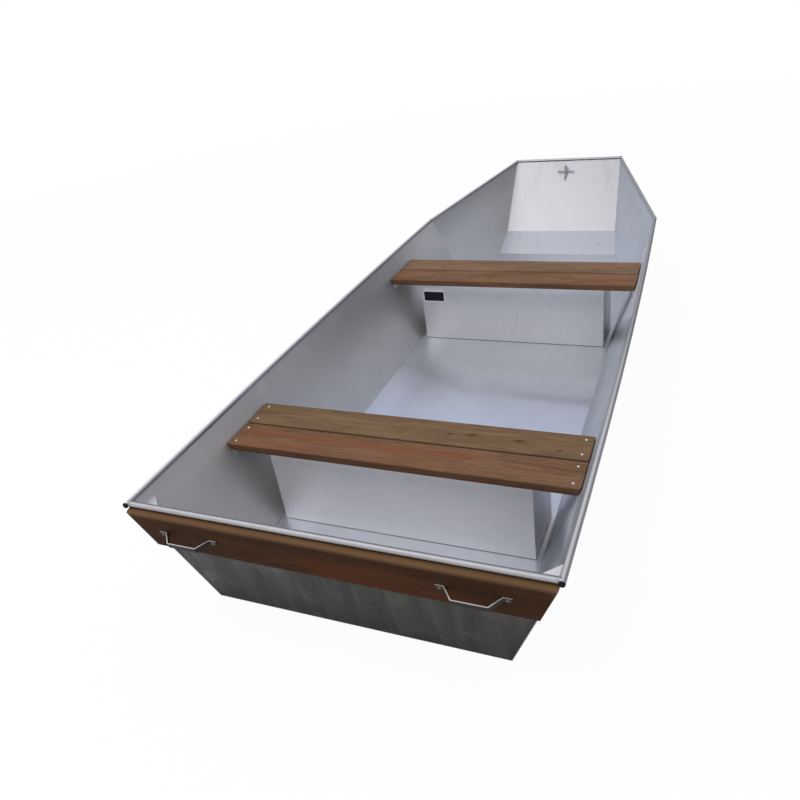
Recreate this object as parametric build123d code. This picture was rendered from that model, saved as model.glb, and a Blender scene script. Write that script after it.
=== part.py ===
"""Flat-bottomed aluminium rowing boat with a square raised bow, two plank seats and a wooden transom board.

Millimetres. +X runs to the bow, +Y to port and +Z up, and the outside of the floor lies at z = 0.
While the hull is drawn, x is measured from the aft end of the side rails; at the end every piece is
moved so that the origin lies under the middle of the boat's bounding box.
"""
import os
from math import cos, hypot, radians, sin

from build123d import *

# Hull lines, on the outer faces of the sheets. Half widths are measured from the centre plane.
SIDE_HEIGHT = 397.0         # floor to rail centre, from the stern to the crease
STERN_TOP_X = 8.0
STERN_RAKE = 69.0           # the transom's foot lies this far ahead of its top
STERN_FOOT_X = STERN_TOP_X + STERN_RAKE
STERN_TOP_HALF = 620.0
STERN_FOOT_HALF = 466.0
BOW_TOP_X = 3269.0
BOW_TOP_Z = 479.5
BOW_TOP_HALF = 300.0
CREASE_SETBACK = 817.0      # bow rail to where the sides fold inwards, at rail height
CREASE_RAKE = 91.0
CREASE_TOP_X = BOW_TOP_X - CREASE_SETBACK
CREASE_FOOT_X = CREASE_TOP_X + CREASE_RAKE
CREASE_TOP_HALF = 570.0
CREASE_FOOT_HALF = 443.0
SIDE_BULGE = 15.5           # how far the rail bows out between stern and crease
RISE_SETBACK = 384.0        # the floor lifts gently from the crease to here
RISE_END_X = BOW_TOP_X - RISE_SETBACK
RISE_END_Z = 46.0
CHIN_SETBACK = 261.0        # and steeply from there to the bow panel
CHIN_END_X = BOW_TOP_X - CHIN_SETBACK
CHIN_END_Z = 140.5

SHEET = 2.0                 # hull sheet
BOX_SHEET = 1.5             # seat box sheet

# Rails: round tube welded along the sheets' top edges
RAIL_RADIUS = 8.5
RAIL_WALL = 1.8
RAIL_AFT_X = -2.0
RAIL_RUNS = 8               # straight runs that follow the side's gentle curve to the crease
COPE_CLEARANCE = 0.05
PLUG_HEAD = 5.0
PLUG_SHANK = 16.0
PLUG_ROUNDING = 2.5
PLUG_CLEARANCE = 0.2
PLUG_RECESS = 0.2           # the head is this much smaller in radius than the rail

# Corner gussets inside the stern
GUSSET_LEG = 80.0
GUSSET_THICKNESS = 3.0
GUSSET_DROP = 34.5          # rail centre to the gusset's top

# Transom board and its two lifting handles
BOARD_DROP = 10.0           # rail centre to the board's top edge, down the transom
BOARD_HEIGHT = 134.0
BOARD_THICKNESS = 25.0
BOARD_TOP_ROUNDING = 3.5
BOARD_FOOT_ROUNDING = 2.0
HANDLES = {"port": 426.5, "starboard": -408.5}     # centres, which are not quite mirrored
HANDLE_BELOW_TOP = 69.0     # board's top edge to the strip's middle, down the board
HANDLE_LENGTH = 193.0
HANDLE_PAD = 23.5
HANDLE_GRIP = 91.0
HANDLE_REACH = 34.0         # board's face to the inside of the grip
STRIP_WIDTH = 16.0
STRIP_THICKNESS = 3.0
STRIP_BEND = 4.0

# Seats: two planks on a closed box, their ends on brackets that follow the sides
SEAT_BOX_HEIGHT = 293.5     # outside of the floor to the planks' underside
PLANK_THICKNESS = 27.0
PLANK_WIDTH = 127.0
PLANK_GAP = 7.0
PLANK_END_CLEARANCE = 2.0
PLANK_CORNER = 6.0
PLANK_EDGE = 4.0
BRACKET_LEG = 22.0
BRACKET_THICKNESS = 3.0
BRACKET_INSET = 12.0        # the bracket stops this far short of the planks' outer edges
BRACKET_CLEARANCE = 0.25
AFT_SEAT_X = 433.0          # to the planks' aft edge
FORE_SEAT_SETBACK = 626.0   # crease, at rail height, to the planks' aft edge
# seat name: planks' aft edge, from there to the box's aft face, box length, box's side to the chine
SEATS = {
    "aft": (AFT_SEAT_X, 27.5, 224.0, 20.4),
    "fore": (CREASE_TOP_X - FORE_SEAT_SETBACK, 40.0, 218.0, 24.3),
}

# Mooring post on the bow panel, a round bar that leans forward and carries a cross pin
POST_UP_PANEL = 320.0       # from the panel's lower fold to the post's foot, along the panel
POST_RADIUS = 7.0
POST_LENGTH = 67.0
POST_LEAN = 15.0            # degrees forward of plumb
PIN_RADIUS = 3.2
PIN_LENGTH = 95.0
PIN_UP_POST = 36.5

# Tools that cut across the whole boat reach past it by SPARE
SPARE = 33.0
REACH = STERN_TOP_HALF + CREASE_TOP_HALF
LOW, HIGH = -SPARE, SIDE_HEIGHT + SPARE
FAR, TALL = BOW_TOP_X + SPARE, SIDE_HEIGHT + BOW_TOP_Z

stern_line = ((STERN_FOOT_X, 0.0), (STERN_TOP_X, SIDE_HEIGHT))
crease_line = ((CREASE_FOOT_X, 0.0), (CREASE_TOP_X, SIDE_HEIGHT))
crease_top = Vector(CREASE_TOP_X, CREASE_TOP_HALF, SIDE_HEIGHT)
crease_foot = Vector(CREASE_FOOT_X, CREASE_FOOT_HALF, 0)
bow_top = Vector(BOW_TOP_X, BOW_TOP_HALF, BOW_TOP_Z)


def blend(a, b, share):
    return a + (b - a) * share


def x_on(line, z):
    """Station of a raked line, such as the stern's, at height z."""
    return blend(line[0][0], line[1][0], z / SIDE_HEIGHT)


def half_width(x, z, inset=0.0):
    """Half width at a station aft of the crease, inside the side's outer face by inset."""
    up = z / SIDE_HEIGHT
    along = (x - x_on(stern_line, z)) / (x_on(crease_line, z) - x_on(stern_line, z))
    foot = blend(STERN_FOOT_HALF, CREASE_FOOT_HALF, along)
    top = blend(STERN_TOP_HALF, CREASE_TOP_HALF, along) + 4 * SIDE_BULGE * along * (1 - along)
    return blend(foot, top, up) - inset * hypot(1, (top - foot) / SIDE_HEIGHT)


def across(points, reach=REACH):
    """Prism across the boat over an outline of (x, z) points."""
    outline = Polyline(*[(x, 0, z) for x, z in points], close=True)
    return extrude(make_face(outline), amount=reach, dir=(0, 1, 0), both=True)


def offset_line(points, distance):
    """Points of a mitred parallel line, distance to the left of the given one."""
    normals = []
    for (ax, ay), (bx, by) in zip(points, points[1:]):
        length = hypot(bx - ax, by - ay)
        normals.append((-(by - ay) / length, (bx - ax) / length))
    moved = []
    for i, (px, py) in enumerate(points):
        ax, ay = normals[max(i - 1, 0)]
        bx, by = normals[min(i, len(normals) - 1)]
        reach = distance / (1 + ax * bx + ay * by)
        moved.append((px + (ax + bx) * reach, py + (ay + by) * reach))
    return moved


def folded(points, thickness):
    """Closed outline of a folded sheet: the line itself and its parallel to the left."""
    return list(points) + offset_line(points, thickness)[::-1]


def side_body(inset):
    """The space between the two sides, inside their outer faces by inset."""
    levels = []
    for z in (LOW, HIGH):
        stern, crease = x_on(stern_line, z), x_on(crease_line, z)
        stations = [blend(stern, crease, share) for share in (-0.05, 0.475, 1.0)]
        port = [(x, half_width(x, z, inset), z) for x in stations]
        starboard = [(x, -y, z) for x, y, _ in port]
        ring = ThreePointArc(*port) + Line(port[2], starboard[2])
        ring += ThreePointArc(*starboard[::-1]) + Line(starboard[0], port[0])
        levels.append(make_face(ring))
    aft = loft(levels, ruled=True)
    ahead = across([(x_on(crease_line, LOW), LOW), (FAR, LOW), (FAR, TALL), (x_on(crease_line, TALL), TALL)])
    outward = (bow_top - crease_top).cross(crease_foot - crease_top).normalized()
    if outward.Y < 0:
        outward = outward * -1
    for hand in (1, -1):
        normal = Vector(outward.X, hand * outward.Y, outward.Z)
        foot = Vector(crease_foot.X, hand * crease_foot.Y, crease_foot.Z)
        ahead = split(ahead, Plane(origin=foot - normal * inset, z_dir=normal), keep=Keep.BOTTOM)
    return aft + ahead


def mirrored(part):
    return mirror(part, about=Plane.XZ)


# Hull sheets
outer, inner = side_body(0), side_body(SHEET)
keel_line = [(STERN_FOOT_X, 0), (CREASE_FOOT_X, 0), (RISE_END_X, RISE_END_Z),
             (CHIN_END_X, CHIN_END_Z), (BOW_TOP_X, BOW_TOP_Z)]
inner_keel_line = offset_line(keel_line, SHEET)
side_outline = keel_line + [(CREASE_TOP_X, SIDE_HEIGHT), (STERN_TOP_X, SIDE_HEIGHT)]

rail_points = []
for run in range(RAIL_RUNS + 1):
    station = blend(RAIL_AFT_X, CREASE_TOP_X, run / RAIL_RUNS)
    rail_points.append(Vector(station, half_width(station, SIDE_HEIGHT), SIDE_HEIGHT))
rail_start = rail_points[0]
aft_run = (rail_points[1] - rail_start).normalized()
bow_run = (bow_top - crease_top).normalized()
mitre = Plane(origin=bow_top, z_dir=bow_run + Vector(0, -1, 0))
stern_centre = Vector(STERN_TOP_X, 0, SIDE_HEIGHT)
bow_centre = Vector(BOW_TOP_X, 0, BOW_TOP_Z)


def rod(start, end, radius):
    """Round bar between two points."""
    bar = Cylinder(radius, (end - start).length, align=(Align.CENTER, Align.CENTER, Align.MIN))
    return Plane(origin=start, z_dir=end - start) * bar


def side_bar(radius):
    """Round bar along the port rail's line: straight runs with mitred joints, cut by the bow's mitre."""
    points = rail_points + [bow_top]
    overlap = 3 * RAIL_RADIUS
    bar, last_run = None, None
    for start, end in zip(points, points[1:]):
        run = (end - start).normalized()
        piece = rod(start - run * (overlap if last_run else 0), end + run * overlap, radius)
        if last_run:
            joint = Plane(origin=start, z_dir=last_run + run)
            bar = split(bar, joint, keep=Keep.BOTTOM) + split(piece, joint, keep=Keep.TOP)
        else:
            bar = piece
        last_run = run
    return split(bar, mitre, keep=Keep.BOTTOM)


def cross_bar(centre, radius, half_length):
    return Location(centre) * Rotation(90, 0, 0) * Cylinder(radius, 2 * half_length)


def bow_bar(radius):
    bar = cross_bar(bow_centre, radius, BOW_TOP_HALF + 2 * RAIL_RADIUS)
    for plane in (mitre, Plane(origin=(bow_top.X, -bow_top.Y, bow_top.Z),
                               z_dir=Vector(mitre.z_dir.X, -mitre.z_dir.Y, mitre.z_dir.Z))):
        bar = split(bar, plane, keep=Keep.TOP)
    return bar


bore = RAIL_RADIUS - RAIL_WALL
port_bar = side_bar(RAIL_RADIUS)
side_bars = port_bar + mirrored(port_bar)
stern_bar = cross_bar(stern_centre, RAIL_RADIUS, STERN_TOP_HALF)
bow_bar_full = bow_bar(RAIL_RADIUS)

shell = (outer - inner) & across(side_outline)
hull_side = split(shell, Plane.XZ, keep=Keep.BOTTOM) - port_bar - stern_bar - bow_bar_full
hull_bottom = across(folded(keel_line, SHEET)) & inner
hull_bottom = hull_bottom - bow_bar_full - side_bars
rake = hypot(1, (STERN_FOOT_X - STERN_TOP_X) / SIDE_HEIGHT)
transom_plate = across([(x_on(stern_line, SHEET), SHEET), (x_on(stern_line, SHEET) + SHEET * rake, SHEET),
                        (STERN_TOP_X + SHEET * rake, SIDE_HEIGHT), (STERN_TOP_X, SIDE_HEIGHT)])
transom_plate = (transom_plate & inner) - stern_bar - side_bars

parts = {
    "hull_bottom": hull_bottom,
    "hull_side_port": hull_side,
    "hull_side_starboard": mirrored(hull_side),
    "transom_plate": transom_plate,
}

# Rails and their end plugs. The stern rail is coped to the side rails.
rail = port_bar - side_bar(bore)
cope = rod(rail_start - aft_run * RAIL_RADIUS, rail_start + aft_run * 4 * RAIL_RADIUS,
           RAIL_RADIUS + COPE_CLEARANCE)
stern_rail = stern_bar - cope - mirrored(cope) - cross_bar(stern_centre, bore, STERN_TOP_HALF)
bow_rail = bow_bar_full - bow_bar(bore)
plug_head = Cylinder(RAIL_RADIUS - PLUG_RECESS, PLUG_HEAD, align=(Align.CENTER, Align.CENTER, Align.MIN))
plug_head = fillet(plug_head.faces().sort_by(Axis.Z)[-1].edges(), PLUG_ROUNDING)
plug_shank = Cylinder(bore - PLUG_CLEARANCE, PLUG_SHANK, align=(Align.CENTER, Align.CENTER, Align.MAX))
plug = Plane(origin=rail_start, z_dir=-aft_run) * (plug_head + plug_shank)
parts.update(rail_port=rail, rail_starboard=mirrored(rail), rail_stern=stern_rail, rail_bow=bow_rail,
             rail_plug_port=plug, rail_plug_starboard=mirrored(plug))

# Corner gussets, cut to the inside of the hull
inside = across(inner_keel_line[1:]
                + [(BOW_TOP_X, TALL), (x_on(stern_line, TALL) + SHEET * rake, TALL),
                   (x_on(stern_line, SHEET) + SHEET * rake, SHEET)]) & inner
gusset_top = SIDE_HEIGHT - GUSSET_DROP
corner_x = x_on(stern_line, gusset_top) + SHEET * rake
corner_y = half_width(corner_x, gusset_top, SHEET)
gusset = Polyline((corner_x - SPARE, corner_y + SPARE), (corner_x + GUSSET_LEG + SPARE, corner_y + SPARE),
                  (corner_x - SPARE, corner_y - GUSSET_LEG - SPARE), close=True)
gusset = Pos(0, 0, gusset_top - GUSSET_THICKNESS) * extrude(make_face(gusset), amount=GUSSET_THICKNESS)
gusset = gusset & inside
parts.update(gusset_port=gusset, gusset_starboard=mirrored(gusset))

# Transom board, just under the stern rail, its ends flush with the hull's sides
slant = Vector(STERN_TOP_X - STERN_FOOT_X, 0, SIDE_HEIGHT).normalized()
board_top = stern_centre - slant * BOARD_DROP
board_plane = Plane(origin=board_top, x_dir=(0, 1, 0), z_dir=slant)
board = Box(2 * REACH, BOARD_THICKNESS, BOARD_HEIGHT, align=(Align.CENTER, Align.MIN, Align.MAX))
outer_edges = board.edges().filter_by(Axis.X).group_by(Axis.Y)[-1].sort_by(Axis.Z)
board = fillet(outer_edges[-1:], BOARD_TOP_ROUNDING)
foot_edges = board.edges().filter_by(Axis.X).group_by(Axis.Z)[0].sort_by(Axis.Y)
board = fillet(foot_edges[-1:], BOARD_FOOT_ROUNDING)
transom_board = ((board_plane * board) & outer) - side_bars - stern_bar
parts["transom_board"] = transom_board

# Handles: flat strip bent to a bow, standing off the board's face
half, shoulder, grip = HANDLE_LENGTH / 2, HANDLE_LENGTH / 2 - HANDLE_PAD, HANDLE_GRIP / 2
strip_line = [(half, 0), (shoulder, 0), (grip, HANDLE_REACH), (-grip, HANDLE_REACH), (-shoulder, 0), (-half, 0)]
strip_outline = folded([(x, BOARD_THICKNESS + y) for x, y in strip_line], -STRIP_THICKNESS)
strip = extrude(make_face(Polyline(*strip_outline, close=True)), amount=STRIP_WIDTH / 2, both=True)
bends = [e for e in strip.edges().filter_by(Axis.Z) if abs(e.center().X) < half - 1]
strip = fillet(bends, STRIP_BEND)
for hand, centre in HANDLES.items():
    parts[f"handle_{hand}"] = board_plane * Pos(centre, 0, -HANDLE_BELOW_TOP) * strip


# Seats
def plank(x):
    """Plank across the boat, its ends bevelled to the sides' flare."""
    ends = []
    for z in (SEAT_BOX_HEIGHT, SEAT_BOX_HEIGHT + PLANK_THICKNESS):
        y = min(half_width(x + dx, z, SHEET + PLANK_END_CLEARANCE) for dx in (0, PLANK_WIDTH))
        ends.append((y, z))
    (y0, z0), (y1, z1) = ends
    section = make_face(Polyline((x, -y0, z0), (x, y0, z0), (x, y1, z1), (x, -y1, z1), close=True))
    return extrude(section, amount=PLANK_WIDTH, dir=(1, 0, 0))


def rounded(plank_solid, side):
    """Round the two corners on one side (0 aft, -1 forward), then every long edge."""
    rims = [f for f in plank_solid.faces().group_by(Axis.X)[side]][0].edges()
    corners = [e for e in rims if abs(e.center().Z - SEAT_BOX_HEIGHT - PLANK_THICKNESS / 2) < 1]
    shaped = fillet(corners, PLANK_CORNER)
    top = shaped.faces().sort_by(Axis.Z)[-1]
    bottom = shaped.faces().sort_by(Axis.Z)[0]
    return fillet(top.edges() + bottom.edges(), PLANK_EDGE)


def bracket(x0, x1):
    """Angle under the planks' port ends, its lower leg flat on the side sheet."""
    sections = []
    for x in (x0, x1):
        def wall(z):
            return half_width(x, z, SHEET) - BRACKET_CLEARANCE
        z0, z1, z2 = SEAT_BOX_HEIGHT, SEAT_BOX_HEIGHT - BRACKET_THICKNESS, SEAT_BOX_HEIGHT - BRACKET_LEG
        outline = [(wall(z0) - BRACKET_LEG, z0), (wall(z0), z0), (wall(z2), z2),
                   (wall(z2) - BRACKET_THICKNESS, z2), (wall(z1) - BRACKET_THICKNESS, z1),
                   (wall(z0) - BRACKET_LEG, z1)]
        sections.append(make_face(Polyline(*[(x, y, z) for y, z in outline], close=True)))
    return loft(sections, ruled=True)


for seat, (plank_x, box_offset, box_length, chine_gap) in SEATS.items():
    box_x = plank_x + box_offset
    box_end = box_x + box_length
    box_half = half_width(box_x + box_length / 2, 0) - chine_gap
    wrap_line = [(box_end, SHEET), (box_end, SEAT_BOX_HEIGHT), (box_x, SEAT_BOX_HEIGHT), (box_x, SHEET)]
    parts[f"{seat}_box_wrap"] = across(folded(wrap_line, BOX_SHEET), box_half)
    end = Box(box_length - 2 * BOX_SHEET, BOX_SHEET, SEAT_BOX_HEIGHT - BOX_SHEET - SHEET,
              align=(Align.MIN, Align.MAX, Align.MIN))
    end = Pos(box_x + BOX_SHEET, box_half, SHEET) * end
    parts[f"{seat}_box_end_port"] = end
    parts[f"{seat}_box_end_starboard"] = mirrored(end)
    fwd_x = plank_x + PLANK_WIDTH + PLANK_GAP
    parts[f"{seat}_plank_aft"] = rounded(plank(plank_x), 0)
    parts[f"{seat}_plank_fwd"] = rounded(plank(fwd_x), -1)
    angle = bracket(plank_x + BRACKET_INSET, fwd_x + PLANK_WIDTH - BRACKET_INSET)
    parts[f"{seat}_bracket_port"] = angle
    parts[f"{seat}_bracket_starboard"] = mirrored(angle)

# Mooring post, its foot cut to the bow panel's inner face
panel = Vector(BOW_TOP_X - CHIN_END_X, 0, BOW_TOP_Z - CHIN_END_Z).normalized()
panel_normal = Vector(-panel.Z, 0, panel.X)
post_foot = Vector(CHIN_END_X, 0, CHIN_END_Z) + panel * POST_UP_PANEL + panel_normal * SHEET
lean = Vector(sin(radians(POST_LEAN)), 0, cos(radians(POST_LEAN)))
post_plane = Plane(origin=post_foot, x_dir=(0, 1, 0), z_dir=lean)
post = post_plane * Pos(0, 0, -3 * POST_RADIUS) * Cylinder(
    POST_RADIUS, POST_LENGTH + 3 * POST_RADIUS, align=(Align.CENTER, Align.CENTER, Align.MIN))
post = split(post, Plane(origin=post_foot, z_dir=panel_normal), keep=Keep.TOP)
pin = post_plane * Pos(0, 0, PIN_UP_POST) * Rotation(0, 90, 0) * Cylinder(PIN_RADIUS, PIN_LENGTH)
parts.update(mooring_post=post - pin, mooring_pin=pin)

# Move every piece so that the origin lies under the middle of the whole boat
boxes = [part.bounding_box() for part in parts.values()]
middle_x = (min(b.min.X for b in boxes) + max(b.max.X for b in boxes)) / 2
os.makedirs("parts", exist_ok=True)
for name, part in parts.items():
    export_step(Pos(-middle_x, 0, 0) * part, f"parts/{name}.step")
print("pieces", len(parts), "origin moved forward by", round(middle_x, 3))
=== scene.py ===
"""Looks of a flat-bottomed aluminium boat with plank seats and a wooden transom board."""

import math

import bmesh
import bpy
from mathutils import Matrix, Vector


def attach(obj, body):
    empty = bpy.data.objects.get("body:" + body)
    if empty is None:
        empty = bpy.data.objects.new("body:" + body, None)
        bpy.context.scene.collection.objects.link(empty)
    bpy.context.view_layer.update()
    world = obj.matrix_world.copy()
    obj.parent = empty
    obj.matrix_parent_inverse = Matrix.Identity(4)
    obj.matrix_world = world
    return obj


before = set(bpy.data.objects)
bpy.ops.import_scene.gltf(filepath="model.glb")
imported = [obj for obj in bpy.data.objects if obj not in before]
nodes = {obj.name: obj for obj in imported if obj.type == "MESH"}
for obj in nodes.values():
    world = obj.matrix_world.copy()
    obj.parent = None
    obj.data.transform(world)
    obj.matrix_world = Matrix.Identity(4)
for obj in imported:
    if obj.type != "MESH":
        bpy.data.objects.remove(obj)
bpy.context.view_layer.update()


# Shader helpers
class Wire:
    """An output socket that takes part in arithmetic."""

    def __init__(self, shader, socket):
        self.shader, self.socket = shader, socket

    def _math(self, operation, *others):
        return self.shader.node("ShaderNodeMath", dict(enumerate((self,) + others)), operation=operation)

    def __add__(self, other):
        return self._math("ADD", other)

    def __sub__(self, other):
        return self._math("SUBTRACT", other)

    def __mul__(self, other):
        return self._math("MULTIPLY", other)

    def __truediv__(self, other):
        return self._math("DIVIDE", other)

    def __rsub__(self, other):
        return self.shader.node("ShaderNodeMath", {0: other, 1: self}, operation="SUBTRACT")

    def __rtruediv__(self, other):
        return self.shader.node("ShaderNodeMath", {0: other, 1: self}, operation="DIVIDE")

    __radd__, __rmul__ = __add__, __mul__

    def abs(self):
        return self._math("ABSOLUTE")

    def power(self, exponent):
        return self._math("POWER", exponent)

    def sine(self):
        return self._math("SINE")

    def least(self, other):
        return self._math("MINIMUM", other)

    def most(self, other):
        return self._math("MAXIMUM", other)

    def ramp(self, start, end, low=0.0, high=1.0):
        """low up to start, high from end on, smooth between them."""
        return self.shader.node("ShaderNodeMapRange", {0: self, 1: start, 2: end, 3: low, 4: high},
                                interpolation_type="SMOOTHSTEP")


class Shader:
    """A material with one Principled surface."""

    def __init__(self, name):
        self.material = bpy.data.materials.new(name)
        self.material.use_nodes = True
        self.tree = self.material.node_tree
        self.surface = next(n for n in self.tree.nodes if n.type == "BSDF_PRINCIPLED")
        self.place = self.node("ShaderNodeTexCoord", out="Object")

    def node(self, kind, inputs=None, out=0, **settings):
        made = self.tree.nodes.new(kind)
        for key, value in settings.items():
            setattr(made, key, value)
        for key, value in (inputs or {}).items():
            if isinstance(value, Wire):
                self.tree.links.new(value.socket, made.inputs[key])
            else:
                made.inputs[key].default_value = value
        return Wire(self, made.outputs[out])

    def axis(self, index, vector=None):
        return self.node("ShaderNodeSeparateXYZ", {0: vector or self.place}, out=index)

    def scaled(self, factors, shift=(0, 0, 0)):
        return self.node("ShaderNodeVectorMath", {0: self.place, 1: factors, 2: shift}, operation="MULTIPLY_ADD")

    def noise(self, scales, detail=3.0, rough=0.5, warp=0.0, shift=(0, 0, 0)):
        return self.node("ShaderNodeTexNoise", {"Vector": self.scaled(scales, shift), "Scale": 1.0, "Detail": detail,
                                                "Roughness": rough, "Distortion": warp})

    def mix(self, factor, a, b):
        colours = [tuple(c) + (1,) if isinstance(c, (tuple, list)) else c for c in (a, b)]
        return self.node("ShaderNodeMix", {0: factor, 6: colours[0], 7: colours[1]}, out=2,
                         data_type="RGBA", clamp_factor=True)

    def hull(self):
        """x, y and z in the hull's millimetres."""
        return self.axis(0) * 1000 + SHIFT, self.axis(1) * 1000, self.axis(2) * 1000

    def normal(self, index):
        return self.axis(index, self.node("ShaderNodeTexCoord", out="Normal"))

    def bump(self, height, strength=0.3, distance=0.001):
        return self.node("ShaderNodeBump", {"Height": height, "Strength": strength, "Distance": distance})

    def set(self, **values):
        for key, value in values.items():
            socket = self.surface.inputs[key.replace("_", " ")]
            if isinstance(value, Wire):
                self.tree.links.new(value.socket, socket)
            else:
                socket.default_value = tuple(value) + (1,) if isinstance(value, tuple) else value
        return self.material


def bell(value, centre, reach):
    """1 at centre, 0 from reach on."""
    return (value - centre).abs().ramp(0.0, reach, 1.0, 0.0)


def spot(u, v, centre, reach):
    """1 at centre, 0 from an ellipse on."""
    return (((u - centre[0]) / reach[0]).power(2) + ((v - centre[1]) / reach[1]).power(2)).ramp(0.0, 1.0, 1.0, 0.0)


def dress(names, material):
    for name in names:
        data = nodes[name].data
        data.materials.clear()
        data.materials.append(material)


# Sizes of the hull, in millimetres from the side rails' aft ends
SHIFT = 1618.287
SIDE_HEIGHT, SHEET = 397.0, 2.0
STERN, CREASE, BOW = ((77.0, 466.0), (8.0, 620.0)), ((2543.0, 443.0), (2452.0, 570.0)), (3269.0, 300.0, 479.5)
KEEL = ((77.0, 0.0), (2543.0, 0.0), (2885.0, 46.0), (3008.0, 140.5), (3269.0, 479.5))
BULGE = 15.5
SEAT_X, SEAT_TOP = {"aft": 433.0, "fore": 1826.0}, 320.5
BOX = {"aft": (460.5, 684.5), "fore": (1866.0, 2084.0)}
STERN_RAKE = STERN[0][0] - STERN[1][0]
BOTTOM_LENGTH, BOTTOM_TAPER = CREASE[0][0] - STERN[0][0], STERN[0][1] - CREASE[0][1]
CREASE_LEAN, STERN_FLARE = 0.229, 0.388


def at(x, y, z):
    """A point of the hull as a vector in metres, in the frame."""
    return Vector(((x - SHIFT) / 1000, y / 1000, z / 1000))


def half_width(x, z, inset=SHEET):
    """Half width inside the sides aft of the crease."""
    share = z / SIDE_HEIGHT
    first = STERN[0][0] + (STERN[1][0] - STERN[0][0]) * share
    last = CREASE[0][0] + (CREASE[1][0] - CREASE[0][0]) * share
    along = (x - first) / (last - first)
    foot = STERN[0][1] + (CREASE[0][1] - STERN[0][1]) * along
    top = STERN[1][1] + (CREASE[1][1] - STERN[1][1]) * along + 4 * BULGE * along * (1 - along)
    return foot + (top - foot) * share - inset * math.hypot(1, (top - foot) / SIDE_HEIGHT)


def bow_half(x, z, inset=SHEET):
    """Half width inside the folded-in sides ahead of the crease."""
    top, foot = Vector((CREASE[1][0], CREASE[1][1], SIDE_HEIGHT)), Vector((CREASE[0][0], CREASE[0][1], 0))
    out = (Vector(BOW) - top).cross(foot - top).normalized()
    out = out if out.y > 0 else -out
    return foot.y - (inset + out.x * (x - foot.x) + out.z * z) / out.y


# Materials
def sheet_metal(name, tone, tint, rough=0.42, metal=0.8, brush=(900, 25, 25), wear=1.0, shade=None,
                cloudy=0.22, edge=None, gloss=0.4):
    """Mill finish aluminium: cloudy tone, fine rolling lines and a few scuffs.
    shade(s) gives a tone and a tint by place, mostly painted light, shade and reflections; edge darkens the sheen at a
    grazing angle."""
    s = Shader(name)
    cloud = s.noise((2.2, 2.6, 3.0), 4.0, 0.55, 0.6)
    blotch = s.noise((11, 13, 15), 5.0, 0.6, 0.4)
    lines = s.noise(brush, 2.0, 0.6)
    scuff = s.noise((38, 70, 60), 6.0, 0.75, 1.5).ramp(0.60, 0.72)
    level = (1.0 + (cloud - 0.5) * cloudy + (blotch - 0.5) * 0.10 + (lines - 0.5) * 0.08) * tone
    colour = tint
    if shade:
        factor, other = shade(s)
        level, colour = level * factor, other
    colour = s.mix(level.least(1.0), (0, 0, 0), colour)
    colour = s.mix(scuff * 0.12 * wear, colour, (0.9, 0.9, 0.9))
    if edge:
        s.set(Specular_Tint=(edge, edge, edge * 1.05))
    return s.set(Base_Color=colour, Metallic=metal, Specular_IOR_Level=gloss,
                 Roughness=rough + (cloud - 0.5) * 0.14 + (lines - 0.5) * 0.10,
                 Normal=s.bump(lines + blotch * 0.8, 0.12))


def floor_shade(s):
    """Painted reflections and light on the level floor: a bluish sheen aft with a soft dark reflected band across it,
    painted light along the port chine, lower painted tones on the rise and bow panel, and dark seams along the strips
    beside the seat boxes."""
    x, y, _ = s.hull()
    near = bell(x, 1000, 750)
    port = y.ramp(270, 400) * x.ramp(1850, 2250, 1.0, 0.0)
    curve = x - y * 0.04 - y.ramp(50, 432) * 155
    wander = (s.noise((6, 9, 1)) - 0.5) * 60
    band = bell(curve + wander, 1405, 60) * ((0.0 - y).ramp(60, 220) * 0.12 + 0.09)
    band = band - bell(curve + wander, 1540, 90) * 0.07
    rise, panel = x.ramp(2884, 2885.5), x.ramp(3006, 3007.5)
    # near, port and band are painted reflection and light; rise and panel are painted tones on the steeper sheets
    level = 0.91 + near * 0.18 + port * 0.30 - band - x.ramp(1500, 1700) * 0.06
    level = level + x.ramp(2500, 2600) * 0.13 - rise * 0.27 - panel * 0.17
    for cx, cy in ((2972, 228), (2931, 112), (2937, -232)):
        level = level - spot(x, y, (cx, cy), (13, 9)) * 0.16
    side = y.abs()
    seams = (bell(side, 443, 5) + bell(side, 459, 6)) * bell(x, 585, 150)
    seams = seams + (bell(side, 426, 5) + bell(side, 446, 6)) * bell(x, 1975, 140)
    smears = s.noise((7, 14, 3), 4.0, 0.6).ramp(0.52, 0.70) * x.ramp(3040, 3230)
    level = level * (1.0 - seams.least(1.0) * 0.6) - smears * 0.05
    tint = s.mix(near, (0.895, 0.915, 1.0), (0.722, 0.790, 1.0))
    tint = s.mix(bell(x, 585, 140) * side.ramp(436, 444), tint, (1.0, 0.92, 0.93))
    tint = s.mix(rise, tint, (0.885, 0.915, 1.0))
    return level, s.mix(panel, tint, s.mix(smears, (0.96, 0.955, 1.0), (1.0, 0.93, 0.95)))


def inner_face(s, inward, level, tint):
    """The painted light, shade and reflections of a side's inner face, and plain sheet on its outer face."""
    plain = 0.95
    return plain + (level - plain) * inward, s.mix(inward, (0.97, 0.975, 1.0), tint)


def rail_stain_and_sheen(s, z):
    """Upright lighter streaks under the rail: weld stain with painted reflection."""
    return s.noise((26, 9, 1.2), 3.0, 0.6).ramp(0.52, 0.75) * z.ramp(270, 380) * 0.12


def bow_part(x, z):
    """1 ahead of the crease, 0 aft of it."""
    return (x + z * CREASE_LEAN).ramp(2540, 2546)


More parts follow.
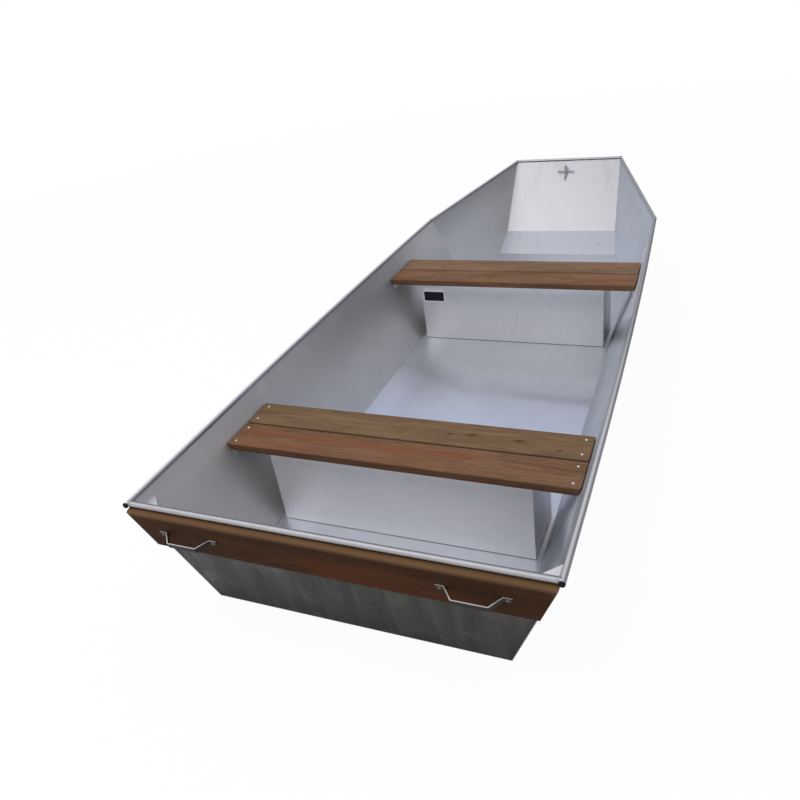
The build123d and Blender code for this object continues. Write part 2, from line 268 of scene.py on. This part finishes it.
def port_shade(s):
    """Painted reflections and shade on the port side's inner face: it darkens towards its rail amidships, with painted
    light beside the fore box and a painted gradient ahead of the crease.
    """
    x, y, z = s.hull()
    high = 1.0 - bell(x, 1500, 1000) * 0.36 - bell(x, 640, 260) * 0.12 + x.ramp(1950, 2250) * 0.32
    level = 1.05 + (high - 1.05) * z.ramp(110, 340) + spot(x, z, (2000, 130), (130, 110)) * 0.4
    bow = 0.93 + x.ramp(2500, 3000) * 0.12 - (z - (x - 2500) * 0.1).ramp(240, 400) * 0.20
    level = level + (bow - level) * bow_part(x, z)
    tint = s.mix(s.noise((1.1, 1.1, 1.5)), (0.975, 0.975, 1.0), (1.0, 0.99, 0.985))
    return inner_face(s, s.normal(1).ramp(-0.2, 0.2, 1.0, 0.0), level + rail_stain_and_sheen(s, z), tint)


def starboard_shade(s):
    """Painted reflections and shade on the starboard side's inner face, which is painted lighter and bluer. It has
    dark slanting bands of painted shade and reflection over the seat boxes, a painted dark patch aft of the first one,
    painted light at the boxes' feet, and a painted dark edge under the rail."""
    x, y, z = s.hull()
    slant = x + z * 1.9
    dip = z.ramp(322, 386) * (bell(x, 1775, 250) * 0.40 + 0.55 - x.ramp(1900, 2150) * 0.50)
    level = 1.18 + z.ramp(60, 220) * 0.16 - dip - x.ramp(250, 450, 0.12, 0.0) + x.ramp(1900, 2250) * 0.15
    level = level + slant.ramp(720, 860) * x.ramp(640, 800, 1.0, 0.0) * z.ramp(280, 320, 1.0, 0.0) * 1.3
    level = level + slant.ramp(2105, 2160) * x.ramp(2080, 2300, 1.0, 0.0)
    level = level * (1.0 - bell(slant, 1990, 125) * z.ramp(180, 370, 1.0, 0.45) * 0.62)
    level = level * (1.0 - bell(slant, 760, 130) * z.ramp(150, 300) * 0.32)
    level = level * (1.0 - spot(x, z, (350, 170), (200, 200)) * 0.42)
    level = level + spot(x, z, (600, 105), (125, 125)) + spot(x, z, (2000, 105), (125, 115)) * 0.8
    level = level + (1.60 - level) * bow_part(x, z)
    tint = s.mix(s.noise((1.1, 1.1, 1.5)), (0.845, 0.895, 1.0), (0.895, 0.935, 1.0))
    return inner_face(s, s.normal(1).ramp(-0.2, 0.2), level + rail_stain_and_sheen(s, z), tint)


def transom_shade(s):
    """Outside: very dark metal with upright streaks, warm stains and darker rims. Inside: plain sheet."""
    _, y, z = s.hull()
    outside = s.normal(0).ramp(-0.2, 0.2, 1.0, 0.0)
    streak = s.noise((10, 24, 1.3), 5.0, 0.65, 0.4)
    patch = s.noise((6, 6, 9), 5.0, 0.7, 1.2)
    stain = s.noise((3, 4.5, 3), 4.0, 0.65, 0.8)
    low = z.ramp(0, 100, 0.78, 1.0) * (STERN[0][1] + z * STERN_FLARE - y.abs()).ramp(0, 30, 0.6, 1.0)
    dark = (0.051 + streak.ramp(0.35, 0.75) * 0.043 + patch.ramp(0.45, 0.8) * 0.050) * low
    dark = dark * (1.0 - (spot(y, z, (-95, 137), (13, 10)) + spot(y, z, (-107, 113), (11, 8))).least(1.0) * 0.35)
    tone = outside * dark + (1.0 - outside) * 0.55
    tint = s.mix(outside * streak.ramp(0.4, 0.7, 1.0, 0.3), (0.97, 0.97, 1.0), (0.98, 1.0, 0.94))
    return tone, s.mix(outside * stain.ramp(0.48, 0.66) * 0.8, tint, (1.0, 0.92, 0.82))


# Scuffs on the fore box's aft face: y and z of the middle, half width and height, depth of tone
SCUFFS = (((-33, 118), (3, 15), 0.35), ((-34, 150), (3, 9), 0.2), ((-267, 79), (2.5, 13), 0.3),
          ((41, 226), (24, 6), 0.12), ((225, 52), (18, 5), 0.12), ((-180, 205), (16, 7), 0.10))


def box_shade(seat):
    """Upright brushing, cloudy handling marks, a dark seam at the foot, and painted light and shade: a shaded
    starboard end, light painted along the top under the seat plank, a lighter port end and lighter low down on the aft
    box, and a darker band high on the fore box.
    """
    def shade(s):
        _, y, z = s.hull()
        foot = z.ramp(3.6, 5.2, 1.0, 0.0)
        handled = s.noise((9, 9, 12), 6.0, 0.7, 1.0).ramp(0.52, 0.75) * z.ramp(120, 260)
        upright = s.noise((25, 260, 5), 3.0, 0.7) - 0.5
        shaded_end = (0.0 - y).ramp(250, 420) * 0.06
        if seat == "aft":
            level = 0.95 + y.ramp(150, 400) * 0.08 - shaded_end + z.ramp(10, 60, 0.05, 0.0) + z.ramp(245, 288) * 0.22
        else:
            level = 0.86 - shaded_end - bell(z, 215, 70) * 0.05 + z.ramp(240, 285) * 0.3
            for place, reach, depth in SCUFFS:
                level = level - spot(y, z, place, reach) * depth
        tint = s.mix(s.noise((1, 3.5, 4.5)), (0.98, 0.975, 1.0), (1.0, 0.985, 0.965))
        return (level + upright * 0.14) * (1.0 - foot * 0.85) * (1.0 - handled * 0.10), tint
    return shade


def tube_shade(bright, dark, side=0.0, up=0.85, back=0.0, fade=0.0):
    """Painted light and shade on a tube: it is painted brighter on one flank. side, up and back give the way that the
    bright flank faces, along +Y, +Z and -X.
    fade is painted shade that darkens the tube towards amidships."""
    def shade(s):
        facing = s.normal(1) * side + s.normal(2) * up - s.normal(0) * back
        level = facing.ramp(-0.3, 0.65, dark, bright) * (1.0 - s.hull()[0].ramp(500, 1400) * fade)
        return level, s.mix(facing.ramp(0.2, 0.9), (0.90, 0.89, 0.97), (1.0, 0.985, 1.0))
    return shade


def strip_shade(s):
    """Painted reflection and highlight: the strip's broad faces are painted almost black and its upper edge light, by
    the way they face, with faint grime.
    """
    grime = s.noise((130, 130, 130), 4.0, 0.6)
    return s.normal(2).ramp(0.85, 0.97, 0.03, 0.75) + grime * 0.03, s.mix(grime, (1.0, 0.92, 0.86), (0.85, 0.78, 0.75))


dress(["hull_bottom"], sheet_metal("floor_metal", 0.67, None, 0.38, brush=(25, 900, 25), shade=floor_shade))
dress(["hull_side_port"],
      sheet_metal("port_metal", 0.61, None, 0.42, brush=(25, 25, 900), shade=port_shade, edge=0.30))
dress(["hull_side_starboard"],
      sheet_metal("starboard_metal", 0.60, None, 0.50, brush=(25, 25, 900), shade=starboard_shade, edge=0.40))
dress(["transom_plate"], sheet_metal("transom_metal", 1.0, None, 0.5, 0.7, (25, 500, 14), 0.3, transom_shade))
for seat in SEAT_X:
    dress([n for n in nodes if n.startswith(seat + "_box_")],
          sheet_metal(seat + "_box_metal", 0.82, None, 0.45, brush=(25, 700, 10), shade=box_shade(seat), cloudy=0.12))
dress(["rail_port"], sheet_metal("port_tube", 1.0, None, 0.30, shade=tube_shade(1.0, 0.36, side=0.8, up=0.5)))
dress(["rail_starboard"],
      sheet_metal("starboard_tube", 1.0, None, 0.36, shade=tube_shade(0.66, 0.30, side=0.8, up=0.5, fade=0.35)))
dress(["rail_stern"], sheet_metal("stern_tube", 1.0, None, 0.62, shade=tube_shade(0.50, 0.17, up=0.1, back=0.9)))
dress(["rail_bow"], sheet_metal("bow_tube", 1.0, None, 0.34, shade=tube_shade(0.42, 0.25)))
dress([n for n in nodes if "gusset" in n], sheet_metal("gusset_metal", 0.74, (0.95, 0.93, 1.0), 0.4))
dress([n for n in nodes if "bracket" in n], sheet_metal("bracket_metal", 0.8, (0.97, 0.97, 1.0), 0.4))
dress([n for n in nodes if n.startswith("mooring")], sheet_metal("post_metal", 0.42, (0.97, 0.98, 1.0), 0.35))
dress([n for n in nodes if n.startswith("handle")],
      sheet_metal("strip_metal", 0.75, None, 0.45, 0.5, (60, 60, 900), 0.0, strip_shade, gloss=0.1))


def timber(name, pith, tones, knots=(), streak=None, rough=0.62, ring=0.0052, seed=0.0, blushing=0.5):
    """Stained plank sawn along Y, whose growth rings run round pith, (x, z) in the hull's millimetres.
    tones are dark, light and red. knots are (x, y, radius in mm); streak is (x, half width, y of its two ends).
    blushing is how strong the loose red patches are."""
    s = Shader(name)
    dark, light, red = tones
    x, y, z = s.axis(0), s.axis(1), s.axis(2)
    centre = at(pith[0], 0, pith[1])
    drift = s.noise((0.5, 1.3, 0.5), 2.0, 0.5, 0, (seed, seed, 0))
    wave = s.noise((9, 2.2, 9), 3.0, 0.5, 0, (0, seed, seed))
    across = x - centre.x + (drift - 0.5) * 0.09
    swirl = 0.0
    for kx, ky, size in knots:
        knot = at(kx, ky, 0)
        away = ((x - knot.x).power(2) * 3.0 + (y - knot.y).power(2) * 0.6).power(0.5)
        near = away.ramp(0.0, size / 400, 1.0, 0.0)
        swirl = near + swirl
    radius = (across.power(2) + (z - centre.z).power(2)).power(0.5) + (wave - 0.5) * 0.012
    if knots:
        radius = radius + swirl * 0.016
    rings = (radius * (2 * math.pi / ring)).sine() * 0.5 + 0.5
    fibre = s.noise((620, 9, 620), 4.0, 0.65, 0, (seed, 0, 0))
    mottled = s.noise((24, 3.2, 24), 5.0, 0.6, 0.4, (0, seed, 0))
    grain = s.noise((95, 5.5, 95), 5.0, 0.7, 0.6, (0, seed, seed))
    paleness = mottled.ramp(0.28, 0.72) * 0.50 + rings.ramp(0.1, 1.0) * 0.22
    paleness = paleness + (fibre - 0.5) * 0.45 + (grain - 0.5) * 0.7 + 0.13
    colour = s.mix(paleness, dark, light)
    colour = s.mix(grain.ramp(0.54, 0.70) * 0.45, colour, tuple(c * 0.55 for c in dark))
    flecks = s.noise((170, 17, 170), 4.0, 0.65, 0.5, (0, seed, 0))
    colour = s.mix(flecks.ramp(0.50, 0.68) * 0.35, colour, tuple(c * 0.6 for c in dark))
    colour = s.mix(flecks.ramp(0.32, 0.46, 1.0, 0.0) * 0.25, colour, tuple(c * 1.15 for c in light))
    blush = s.noise((7, 1.6, 7), 4.0, 0.55, 0.5, (seed, 0, seed)).ramp(0.5, 0.68) * blushing
    if streak:
        sx, wide, y0, y1 = streak
        line = (x - (sx - SHIFT) / 1000 + (wave - 0.5) * 0.03).abs().ramp(0.0, wide / 1000, 1.0, 0.0)
        line = line * y.ramp(y0 / 1000, y0 / 1000 + 0.12) * y.ramp(y1 / 1000 - 0.12, y1 / 1000, 1.0, 0.0)
        blush = blush.most(line * (grain.ramp(0.36, 0.62, 1.0, 0.25) * 0.75 + mottled * 0.3))
    colour = s.mix(blush.least(1.0), colour, red)
    if knots:
        colour = s.mix(swirl.ramp(0.35, 1.0) * (0.45 + fibre * 0.5), colour, tuple(c * 0.45 for c in dark))
    # Painted shade: faces that neither face up nor down are darker.
    flat = s.normal(2).abs()
    colour = s.mix(flat.ramp(0.25, 0.92, 0.30, 0.0), colour, tuple(c * 0.5 for c in dark))
    return s, colour, fibre, rings, rough


def finish_timber(s, colour, fibre, rings, rough):
    return s.set(Base_Color=colour, Specular_IOR_Level=0.04, Roughness=rough + (fibre - 0.5) * 0.12,
                 Normal=s.bump(fibre * 0.7 + rings * 0.5, 0.22))


# Stained wood: dark, light and red tones
BROWN, TAN, RED = (0.100, 0.052, 0.030), (0.225, 0.125, 0.072), (0.180, 0.060, 0.030)
OLIVE, GREY = (0.105, 0.064, 0.035), (0.215, 0.135, 0.078)
FORE_AFT_TONES = (0.113, 0.058, 0.033), (0.252, 0.140, 0.080), (0.200, 0.068, 0.034)
FORE_FWD_TONES = (0.132, 0.083, 0.050), (0.284, 0.163, 0.104), (0.126, 0.068, 0.043)
BOARD_TONES = (0.036, 0.0155, 0.0068), (0.088, 0.039, 0.0165), (0.125, 0.036, 0.014)
PLANKS = {
    "aft_plank_aft": dict(pith=(500, 262), tones=(BROWN, TAN, RED), streak=(514, 30, -330, 610), seed=1.7),
    "aft_plank_fwd": dict(pith=(655, 268), tones=(OLIVE, GREY, TAN), seed=5.2,
                          knots=((626, -141, 9), (632, -213, 14), (626, -362, 12), (600, -492, 8))),
    "fore_plank_aft": dict(pith=(1880, 255), tones=FORE_AFT_TONES, seed=9.4, blushing=0.12,
                           knots=((1880, 86, 13), (1915, -270, 8))),
    "fore_plank_fwd": dict(pith=(2040, 262), tones=FORE_FWD_TONES, seed=13.8,
                           knots=((1993, 348, 9), (2010, -120, 8))),
}
for node, facts in PLANKS.items():
    dress([node], finish_timber(*timber(node + "_timber", **facts)))

# The transom board has a painted lit band below its top edge, a painted shadow line along the very top, a reddish
# lower half, and chips at its ends and foot
s, colour, fibre, rings, rough = timber("board_timber", (-70, 400), BOARD_TONES, knots=((-19, 16, 13),),
                                        ring=0.006, seed=3.1, blushing=0.6)
_, y, z = s.hull()
lit = z.ramp(366, 381) * (0.62 + fibre * 0.3 + (s.noise((9, 3.5, 60), 4.0, 0.6) - 0.5) * 0.5)
reddish = s.noise((9, 2.6, 16), 5.0, 0.65, 0.7).ramp(0.42, 0.62)
reddish = reddish * z.ramp(300, 345, 1.0, 0.0) * y.abs().ramp(250, 420, 1.0, 0.25)
chip = s.noise((90, 60, 90), 4.0, 0.7).ramp(0.5, 0.62)
chip = chip * (y.abs().ramp(592, 612) + spot(y, z, (16, 258), (60, 8))).least(1.0)
colour = s.mix(reddish * 0.24, colour, (0.140, 0.040, 0.016))
colour = s.mix(lit, colour, (0.155, 0.087, 0.043))
colour = s.mix(chip * 0.5, colour, (0.16, 0.09, 0.05))
# Painted shadow: a dark line along the very top, under the rail.
colour = s.mix(z.ramp(384.5, 386.5) * 0.6, colour, (0.03, 0.015, 0.01))
dress(["transom_board"], finish_timber(s, colour, fibre, rings, rough))

plug = Shader("plug_rubber")
black = plug.mix(plug.noise((300, 300, 300)), (0.003, 0.003, 0.0035), (0.009, 0.009, 0.010))
dress(["rail_plug_port", "rail_plug_starboard"], plug.set(Base_Color=black, Roughness=0.6, Specular_IOR_Level=0.12))


# Added pieces
def piece(name, mesh, slot, *materials, smooth=40):
    """A finished mesh as a piece of the boat."""
    data = bpy.data.meshes.new(name)
    mesh.to_mesh(data)
    mesh.free()
    for material in materials:
        data.materials.append(material)
    made = bpy.data.objects.new(name, data)
    bpy.context.scene.collection.objects.link(made)
    for polygon in data.polygons:
        polygon.use_smooth = True
    data.set_sharp_from_angle(angle=math.radians(smooth))
    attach(made, "root")
    return made


def add_bead(mesh, path, radius, step=0.0035, sides=8, closed=False, seed=0):
    """Weld bead along a path of points: a ripple of overlapping drops."""
    points = []
    for a, b in zip(path, path[1:]):
        count = max(int((b - a).length / step), 1)
        points += [a.lerp(b, i / count) for i in range(count)]
    if not closed:
        points.append(path[-1])
    rings, side = [], None
    total = len(points)
    for i, p in enumerate(points):
        before = points[i - 1 if closed or i else 0]
        after = points[(i + 1) % total if closed else min(i + 1, total - 1)]
        run = (after - before).normalized()
        side = side or run.orthogonal()
        side = (side - run * side.dot(run)).normalized()
        other = run.cross(side)
        drop = 0.80 + 0.20 * abs(math.sin(i * 0.9 + seed)) + 0.10 * math.sin(i * 0.137 + seed * 2.1)
        taper = 1.0 if closed else min(1.0, 0.35 + 0.3 * min(i, total - 1 - i))
        size = radius * drop * taper
        rings.append([mesh.verts.new(p + (side * math.cos(t) + other * math.sin(t)) * size)
                      for t in (2 * math.pi * k / sides for k in range(sides))])
    pairs = list(zip(rings, rings[1:])) + ([(rings[-1], rings[0])] if closed else [])
    for first, second in pairs:
        for k in range(sides):
            mesh.faces.new((first[k], first[(k + 1) % sides], second[(k + 1) % sides], second[k]))
    if not closed:
        mesh.faces.new(rings[0][::-1])
        mesh.faces.new(rings[-1])


def flipped(points):
    return [Vector((p.x, -p.y, p.z)) for p in points]


def beads(name, slot, paths, radius, **settings):
    mesh = bmesh.new()
    for i, path in enumerate(paths):
        add_bead(mesh, path, radius, seed=i * 1.3, **settings)
    return piece(name, mesh, slot, weld)


weld = sheet_metal("weld_metal", 0.5, (1.0, 0.98, 1.0), 0.4, brush=(400, 400, 400))

# Chine beads from the transom's foot to the bow rail
inner_keel = [(KEEL[1][0], SHEET), (2884.7, 48.0), (3006.8, 142.2), (3262.0, 473.8)]
chine = [at(x, half_width(x, SHEET) - 0.6, SHEET + 0.6) for x in (81, 700, 1300, 1900, 2500)]
chine += [at(x, bow_half(x, z) - 0.6, z + 0.6) for x, z in inner_keel]
beads("chine_bead_port", "hull_sheet", [chine], 0.0020)
beads("chine_bead_starboard", "hull_sheet", [flipped(chine)], 0.0020)

# Transom: along the floor and up both corners
corner = []
for z in (3.0, 378.0):
    x = STERN[0][0] - STERN_RAKE * z / SIDE_HEIGHT + 2.6
    corner.append(at(x, half_width(x, z) - 0.6, z))
foot = [at(79.8, -460.0, 2.8), at(79.8, 460.0, 2.8)]
beads("transom_beads", "transom_sheet", [foot, corner, flipped(corner)], 0.0024)


def ring(centre, axis, radius, count=40):
    axis = axis.normalized()
    side = axis.orthogonal().normalized()
    other = axis.cross(side)
    return [centre + (side * math.cos(t) + other * math.sin(t)) * radius
            for t in (2 * math.pi * k / count for k in range(count))]


def ring_piece(name, centre, axis, radius, bead):
    mesh = bmesh.new()
    for hand in (1, -1):
        c, a = Vector((centre.x, centre.y * hand, centre.z)), Vector((axis.x, axis.y * hand, axis.z))
        path = ring(c, a, radius)
        add_bead(mesh, path + path[:1], bead, step=0.0028, sides=6, closed=True, seed=hand)
    return piece(name, mesh, "rail_tube", weld)


ring_piece("stern_rail_beads", at(STERN[1][0], 610.5, SIDE_HEIGHT), Vector((0, 1, 0)), 0.0087, 0.0014)
crease_top, bow_top = Vector((CREASE[1][0], CREASE[1][1], SIDE_HEIGHT)), Vector(BOW)
ahead = (bow_top - crease_top).normalized()
ring_piece("crease_rail_beads", at(*crease_top), Vector((1, -0.03, 0)) + ahead, 0.0086, 0.0010)
ring_piece("bow_rail_beads", at(*bow_top), ahead + Vector((0, -1, 0)), 0.0096, 0.0010)

# Corner gussets: a bead on top along each edge
gusset_z, gusset_leg = 362.5, 80.0
inner_x = STERN[1][0] + STERN_RAKE * (1 - gusset_z / SIDE_HEIGHT) + 2.6
edge = half_width(inner_x + 40, gusset_z)
tip_x = inner_x + gusset_leg - 6
legs = ([at(inner_x, edge - gusset_leg + 8, gusset_z), at(inner_x, edge - 4, gusset_z)],
        [at(inner_x + 4, edge - 0.8, gusset_z), at(tip_x, half_width(tip_x, gusset_z) - 0.8, gusset_z)])
beads("gusset_beads", "gusset_sheet", [leg for pair in legs for leg in (pair, flipped(pair))], 0.0020)

# Seat boxes: short beads at the feet of both end sheets and of the forward face
stitches = []
for seat, (first, last) in BOX.items():
    middle = (first + last) / 2
    share = (middle - STERN[0][0]) / BOTTOM_LENGTH
    half = STERN[0][1] - BOTTOM_TAPER * share - (20.4 if seat == "aft" else 24.3)
    for k in range(3):
        start = first + 12 + k * 78
        end_bead = [at(start, half + 0.5, 2.6), at(start + 42, half + 0.5, 2.6)]
        stitches += [end_bead, flipped(end_bead)]
    for k in range(5):
        start = -half + 25 + k * (2 * half - 50 - 45) / 4
        stitches.append([at(last + 0.5, start, 2.6), at(last + 0.5, start + 45, 2.6)])
beads("box_beads", "box_sheet", stitches, 0.0022)

# Post foot
post_foot, lean, panel_normal = at(3201.6, 0, 395.3), Vector((0.2588, 0, 0.9659)), Vector((-0.7924, 0, 0.6101))
mesh = bmesh.new()
path = []
for p in ring(post_foot, lean, 0.0074, 32):
    path.append(p - lean * ((p - post_foot).dot(panel_normal) / lean.dot(panel_normal)))
add_bead(mesh, path + path[:1], 0.0013, step=0.0022, sides=6, closed=True)
piece("post_bead", mesh, "post_metal", weld)


# Screws: domed heads with a cross recess, each in a dark ring of stained wood
SCREW_RADIUS = 0.0042


def add_screw(mesh, centre, axis, height, ring_width=0.0012, radius=SCREW_RADIUS):
    axis = axis.normalized()
    side = axis.orthogonal().normalized()
    other = axis.cross(side)
    profile = [(0.0, 0.62), (0.14, 0.62), (0.34, 0.97), (0.55, 0.93),
               (0.75, 0.78), (0.90, 0.52), (0.98, 0.24), (1.0, 0.0)]
    count = 24
    rows = []
    for r, h in profile:
        row = []
        for k in range(count):
            t = 2 * math.pi * k / count
            size, rise = r * radius, h * height
            if 0.1 < r < 0.5:
                rise *= 0.62 + 0.38 * min(1.0, abs(math.sin(2 * t)) * 1.6)
            row.append(mesh.verts.new(centre + axis * rise + (side * math.cos(t) + other * math.sin(t)) * size))
            if r == 0:
                break
        rows.append(row)
    for k in range(count):
        mesh.faces.new((rows[0][0], rows[1][k], rows[1][(k + 1) % count]))
        for first, second in zip(rows[1:], rows[2:]):
            mesh.faces.new((first[k], second[k], second[(k + 1) % count], first[(k + 1) % count]))
    stain = []
    rim = 1.0 + ring_width / radius
    for r, h in ((1.0, 0.04), (rim, 0.03), (rim, -0.1)):
        level = centre + axis * h * height
        stain.append([mesh.verts.new(level + (side * math.cos(t) + other * math.sin(t)) * radius * r)
                      for t in (2 * math.pi * k / count for k in range(count))])
    for first, second in zip(stain, stain[1:]):
        for k in range(count):
            mesh.faces.new((first[k], second[k], second[(k + 1) % count], first[(k + 1) % count])).material_index = 1


bright = Shader("screw_zinc")
tone = bright.noise((260, 260, 260), 3.0, 0.6)
bright.set(Base_Color=bright.mix(tone, (0.66, 0.58, 0.58), (0.86, 0.80, 0.80)), Metallic=0.75,
           Roughness=tone * 0.15 + 0.18, Normal=bright.bump(tone, 0.1))
dull = Shader("screw_dull")
tone = dull.noise((260, 260, 260), 3.0, 0.6)
dull.set(Base_Color=dull.mix(tone, (0.14, 0.11, 0.10), (0.26, 0.22, 0.20)), Metallic=0.6,
         Roughness=tone * 0.15 + 0.40, Normal=dull.bump(tone, 0.1))
stained = Shader("screw_stain")
tone = stained.noise((500, 500, 500), 3.0, 0.6)
stained.set(Base_Color=stained.mix(tone, (0.03, 0.018, 0.012), (0.09, 0.055, 0.035)), Roughness=0.7)
for seat, plank_x in SEAT_X.items():
    mesh = bmesh.new()
    for offset in (21, 101, 161, 237):
        x = plank_x + offset
        y = half_width(x, SEAT_TOP, SHEET + 2.0) - 27
        for hand in (1, -1):
            add_screw(mesh, at(x, hand * y, SEAT_TOP), Vector((0, 0, 1)), 0.0019)
    head = bright if seat == "aft" else dull
    piece(seat + "_seat_screws", mesh, "handle_steel", head.material, stained.material, smooth=60)

slant = Vector((-STERN_RAKE, 0, SIDE_HEIGHT)).normalized()
board_face = Vector((-SIDE_HEIGHT, 0, -STERN_RAKE)).normalized()
board_top = at(STERN[1][0], 0, SIDE_HEIGHT) - slant * 0.010
board_thickness, strip_thickness, hole_reach = 0.025, 0.003, 0.0850
place = board_top - slant * 0.069 + board_face * (board_thickness + strip_thickness)
mesh = bmesh.new()
for middle in (0.4265, -0.4085):
    for y in (middle + hole_reach, middle - hole_reach):
        add_screw(mesh, Vector((place.x, y, place.z)), board_face, 0.0022, 0.0006)
piece("handle_screws", mesh, "handle_steel", dull.material, stained.material, smooth=60)

# Blank two-tone label on the fore box
mesh = bmesh.new()
box_face = BOX["fore"][0]
low, high, face = at(box_face, 312, 195.5), at(box_face, 417, 272.0), at(box_face, 0, 0).x
corner_r, thick, outline = 0.003, 0.0003, []
for cy, cz, start in ((high.y, high.z, 0), (low.y, high.z, 90), (low.y, low.z, 180), (high.y, low.z, 270)):
    sy, sz = (-1 if cy == high.y else 1), (-1 if cz == high.z else 1)
    for k in range(6):
        t = math.radians(start + k * 18)
        outline.append((cy + sy * corner_r + math.cos(t) * corner_r, cz + sz * corner_r + math.sin(t) * corner_r))
rows = [[mesh.verts.new((face - depth, y, z)) for y, z in outline] for depth in (0.0, thick)]
mesh.faces.new(rows[1])
for k in range(len(outline)):
    mesh.faces.new((rows[0][k], rows[0][(k + 1) % len(outline)], rows[1][(k + 1) % len(outline)], rows[1][k]))
bmesh.ops.recalc_face_normals(mesh, faces=mesh.faces)
label = Shader("label_film")
block = label.axis(2).ramp(0.2455, 0.2465, 1.0, 0.0) * label.axis(2).ramp(0.1985, 0.1995)
block = block * label.axis(1).ramp(0.3145, 0.3155) * label.axis(1).ramp(0.4135, 0.4145, 1.0, 0.0)
tone = label.noise((60, 60, 60), 4.0, 0.6)
pale = label.mix(tone, (0.84, 0.84, 0.88), (0.96, 0.96, 0.99))
ink = label.mix(tone, (0.006, 0.006, 0.009), (0.016, 0.016, 0.020))
label.set(Base_Color=label.mix(block, pale, ink), Roughness=tone * 0.15 + 0.45, Specular_IOR_Level=0.15)
piece("blank_label", mesh, "box_sheet", label.material)

# Camera
YAW, PITCH, ROLL = 0.4648, -0.5379, -0.1556
EYE = (-2.8116, -0.8813, 1.6242)
PICTURE, SENSOR = 800, 36
PRINCIPAL, FOCAL = (396.49, 404.84), 742.98
forward = Vector((math.cos(YAW) * math.cos(PITCH), math.sin(YAW) * math.cos(PITCH), math.sin(PITCH)))
level = forward.cross(Vector((0, 0, 1))).normalized()
upright = level.cross(forward)
right = math.cos(ROLL) * level + math.sin(ROLL) * upright
up = math.cos(ROLL) * upright - math.sin(ROLL) * level
camera = bpy.data.objects.new("camera", bpy.data.cameras.new("camera"))
bpy.context.scene.collection.objects.link(camera)
camera.matrix_world = Matrix.Translation(EYE) @ Matrix((right, up, -forward)).transposed().to_4x4()
camera.data.sensor_width = SENSOR
camera.data.lens = FOCAL / PICTURE * SENSOR
camera.data.shift_x = (PICTURE / 2 - PRINCIPAL[0]) / PICTURE
camera.data.shift_y = (PRINCIPAL[1] - PICTURE / 2) / PICTURE
camera.data.clip_end = 1500
bpy.context.scene.camera = camera

# Floor and light
scene = bpy.context.scene
scene.view_settings.view_transform = "Standard"
mesh = bpy.data.meshes.new("ground")
sheet = bmesh.new()
bmesh.ops.create_grid(sheet, x_segments=2, y_segments=2, size=400)
sheet.to_mesh(mesh)
ground = bpy.data.objects.new("ground", mesh)
scene.collection.objects.link(ground)
s = Shader("ground_paint")
s.set(Base_Color=(0.82, 0.82, 0.82), Roughness=0.9)
seen = s.node("ShaderNodeLightPath", out="Is Camera Ray")
glow = s.node("ShaderNodeEmission", {"Color": (1, 1, 1, 1), "Strength": 1.0})
away = s.node("ShaderNodeVectorMath", {0: s.place}, out=1, operation="LENGTH").ramp(3.0, 9.0)
blend = s.node("ShaderNodeMixShader", {0: seen * (0.95 + away * 0.05), 1: Wire(s, s.surface.outputs[0]), 2: glow})
s.tree.links.new(blend.socket, next(n for n in s.tree.nodes if n.type == "OUTPUT_MATERIAL").inputs[0])
mesh.materials.append(s.material)

world = bpy.data.worlds.new("sky")
scene.world = world
world.use_nodes = True
w = Shader.__new__(Shader)
w.tree = world.node_tree
background = next(n for n in w.tree.nodes if n.type == "BACKGROUND")
height = w.axis(2, w.node("ShaderNodeTexCoord", out="Generated"))
sky = w.mix(height.ramp(0.0, 0.85), (0.30, 0.31, 0.34), (0.92, 0.93, 0.96))
seen = w.node("ShaderNodeLightPath", out="Is Camera Ray")
w.tree.links.new(w.mix(seen, sky, (1, 1, 1)).socket, background.inputs[0])
background.inputs[1].default_value = 1.0


def lamp(name, place, target, size, power):
    made = bpy.data.objects.new(name, bpy.data.lights.new(name, "AREA"))
    made.data.shape = "RECTANGLE"
    made.data.size, made.data.size_y = size
    made.data.energy = power
    made.location = place
    made.rotation_euler = (Vector(target) - Vector(place)).to_track_quat("-Z", "Y").to_euler()
    scene.collection.objects.link(made)


lamp("key_lamp", (-2.2, 1.9, 4.9), (0, 0, 0.2), (4.2, 3.4), 110)
lamp("aft_lamp", (-5.5, -0.3, 4.0), (0, 0, 0.15), (4.0, 3.0), 14)
